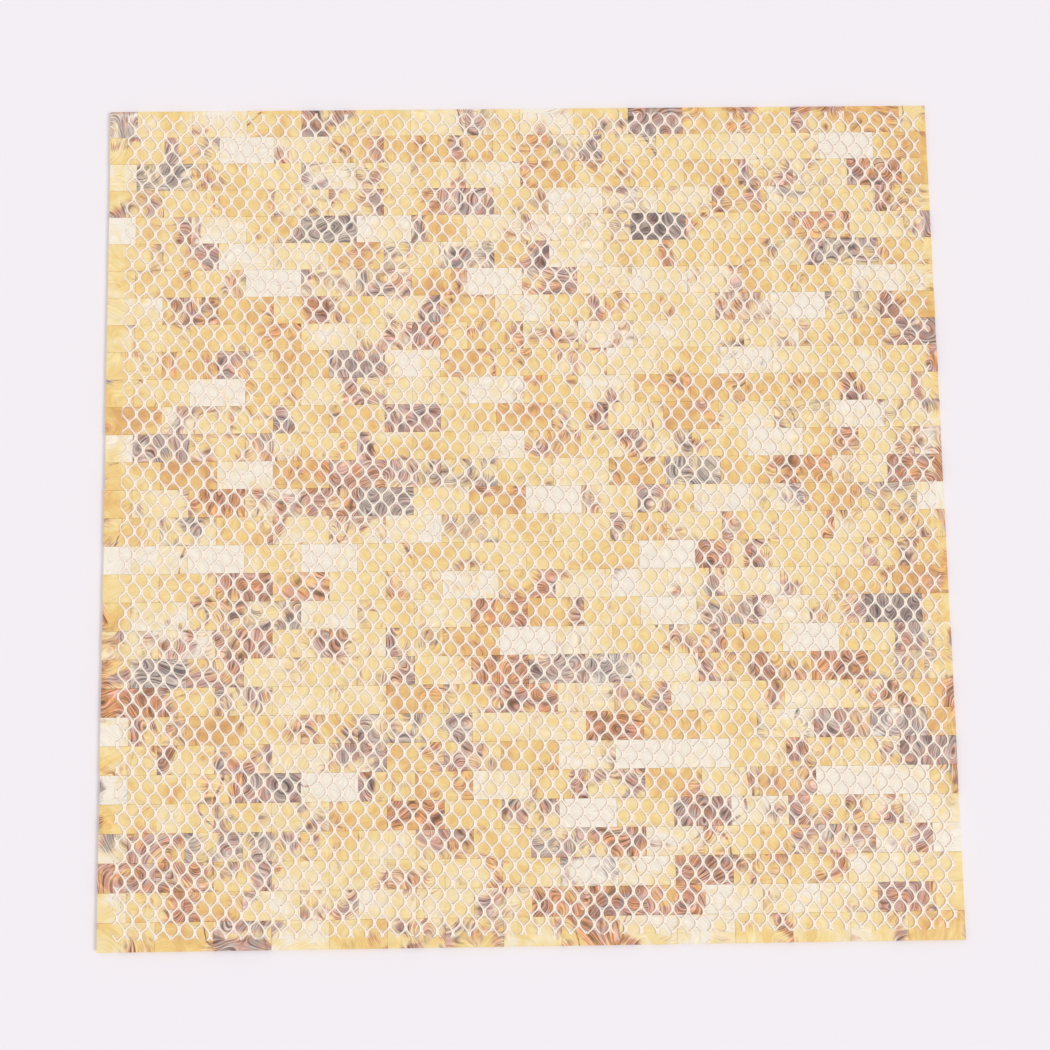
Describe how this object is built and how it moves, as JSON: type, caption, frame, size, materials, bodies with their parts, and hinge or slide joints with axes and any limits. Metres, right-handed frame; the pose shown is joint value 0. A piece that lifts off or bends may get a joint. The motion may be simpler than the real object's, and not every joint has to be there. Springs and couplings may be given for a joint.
{
  "type": "mosaic tile sheet",
  "caption": "Square sheet of golden shell mosaic strips laid edge to edge in running bond, with a white fibre net of hexagonal mesh bonded over the back.",
  "frame": {"origin": "centre of the sheet's polished underside, where it lies on a level floor", "axes": "+X along the courses, to the right in the picture; +Y across them, to the picture's top; +Z out of the net side, up as the sheet lies"},
  "size_m": [0.2998, 0.2998, 0.0024],
  "materials": {
    "shell": "satin, polished shell",
    "net": "glossy bonded fibre thread"
  },
  "bodies": {
    "root": {"shell_course_01": "shell", "shell_course_02": "shell", "shell_course_03": "shell", "shell_course_04": "shell", "shell_course_05": "shell", "shell_course_06": "shell", "shell_course_07": "shell", "shell_course_08": "shell", "shell_course_09": "shell", "shell_course_10": "shell", "shell_course_11": "shell", "shell_course_12": "shell", "shell_course_13": "shell", "shell_course_14": "shell", "shell_course_15": "shell", "shell_course_16": "shell", "shell_course_17": "shell", "shell_course_18": "shell", "shell_course_19": "shell", "shell_course_20": "shell", "shell_course_21": "shell", "shell_course_22": "shell", "shell_course_23": "shell", "shell_course_24": "shell", "shell_course_25": "shell", "shell_course_26": "shell", "shell_course_27": "shell", "shell_course_28": "shell", "shell_course_29": "shell", "shell_course_30": "shell", "net_panel_01": "net", "net_panel_02": "net", "net_panel_03": "net", "net_panel_04": "net", "net_panel_05": "net", "net_panel_06": "net", "net_panel_07": "net", "net_panel_08": "net", "net_panel_09": "net", "net_panel_10": "net", "net_panel_11": "net", "net_panel_12": "net", "net_panel_13": "net", "net_panel_14": "net", "net_panel_15": "net", "net_panel_16": "net", "net_panel_17": "net", "net_panel_18": "net", "net_panel_19": "net", "net_panel_20": "net", "net_panel_21": "net", "net_panel_22": "net", "net_panel_23": "net", "net_panel_24": "net", "net_panel_25": "net", "net_panel_26": "net", "net_panel_27": "net"}
  },
  "joints": []
}
